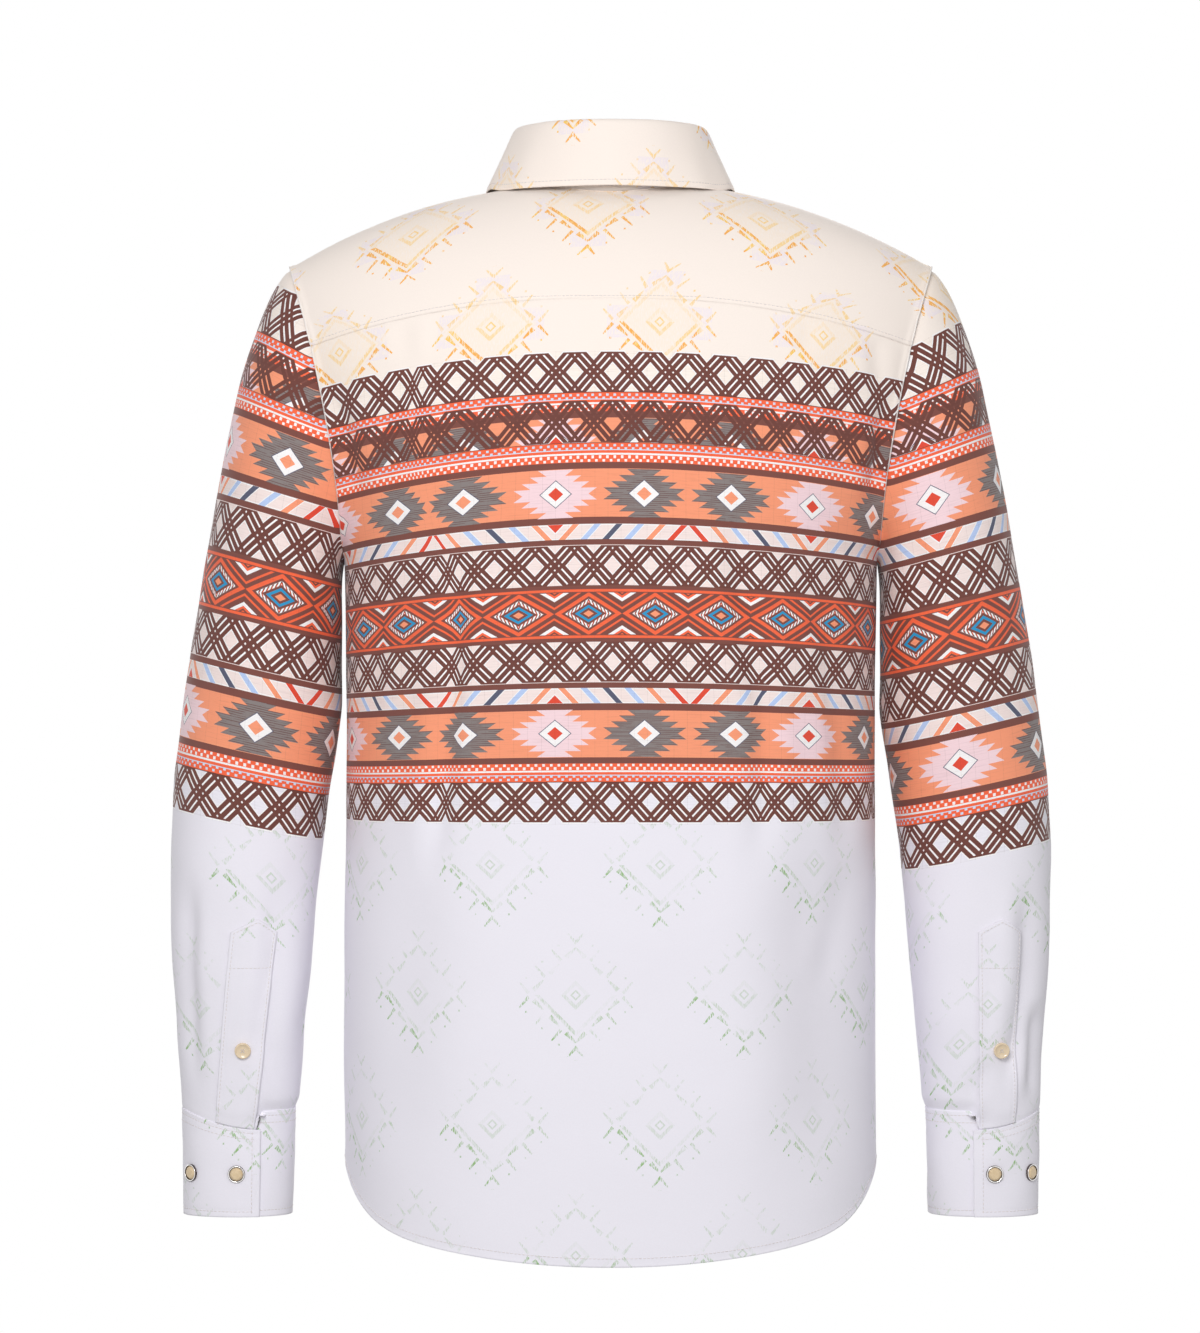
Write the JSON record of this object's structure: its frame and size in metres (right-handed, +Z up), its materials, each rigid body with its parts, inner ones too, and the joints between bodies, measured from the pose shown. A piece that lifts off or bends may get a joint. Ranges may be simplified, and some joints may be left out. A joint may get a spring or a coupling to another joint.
{
  "type": "western snap shirt",
  "caption": "Long-sleeved western shirt in its hollow worn form, with a straight yoke, turn-down collar, shirt-tail hem, lapped cuffs and pearl snaps",
  "frame": {"origin": "the middle of the neck base, level with the neck points of the shoulders, where the wearer holds the shirt up", "axes": "+Z up the wearer's body, +Y toward the wearer's back, +X toward the wearer's left arm"},
  "size_m": [0.617, 0.2577, 0.781],
  "materials": {
    "printed_cotton": "plain-woven brushed cotton, printed",
    "cream_cotton": "plain-woven cotton, cream with a faint print",
    "snap_chrome": "polished",
    "snap_pearl": "pearled gloss",
    "placket_button": "satin"
  },
  "bodies": {
    "root": {"back": "printed_cotton", "yoke": "cream_cotton", "front_left": "printed_cotton", "front_right": "printed_cotton", "front_band": "printed_cotton", "collar_stand": "cream_cotton", "collar": "cream_cotton", "sleeve_left": "printed_cotton", "sleeve_right": "printed_cotton", "cuff_left": "cream_cotton", "cuff_right": "cream_cotton", "placket_left": "printed_cotton", "placket_right": "printed_cotton", "cuff_left_snap_1_ring": "snap_chrome", "cuff_left_snap_1_pearl": "snap_pearl", "cuff_left_snap_2_ring": "snap_chrome", "cuff_left_snap_2_pearl": "snap_pearl", "cuff_right_snap_1_ring": "snap_chrome", "cuff_right_snap_1_pearl": "snap_pearl", "cuff_right_snap_2_ring": "snap_chrome", "cuff_right_snap_2_pearl": "snap_pearl", "front_snap_1_ring": "snap_chrome", "front_snap_1_pearl": "snap_pearl", "front_snap_2_ring": "snap_chrome", "front_snap_2_pearl": "snap_pearl", "front_snap_3_ring": "snap_chrome", "front_snap_3_pearl": "snap_pearl", "front_snap_4_ring": "snap_chrome", "front_snap_4_pearl": "snap_pearl", "front_snap_5_ring": "snap_chrome", "front_snap_5_pearl": "snap_pearl", "front_snap_6_ring": "snap_chrome", "front_snap_6_pearl": "snap_pearl", "stand_snap_ring": "snap_chrome", "stand_snap_pearl": "snap_pearl", "placket_left_button": "placket_button", "placket_right_button": "placket_button"}
  },
  "joints": []
}
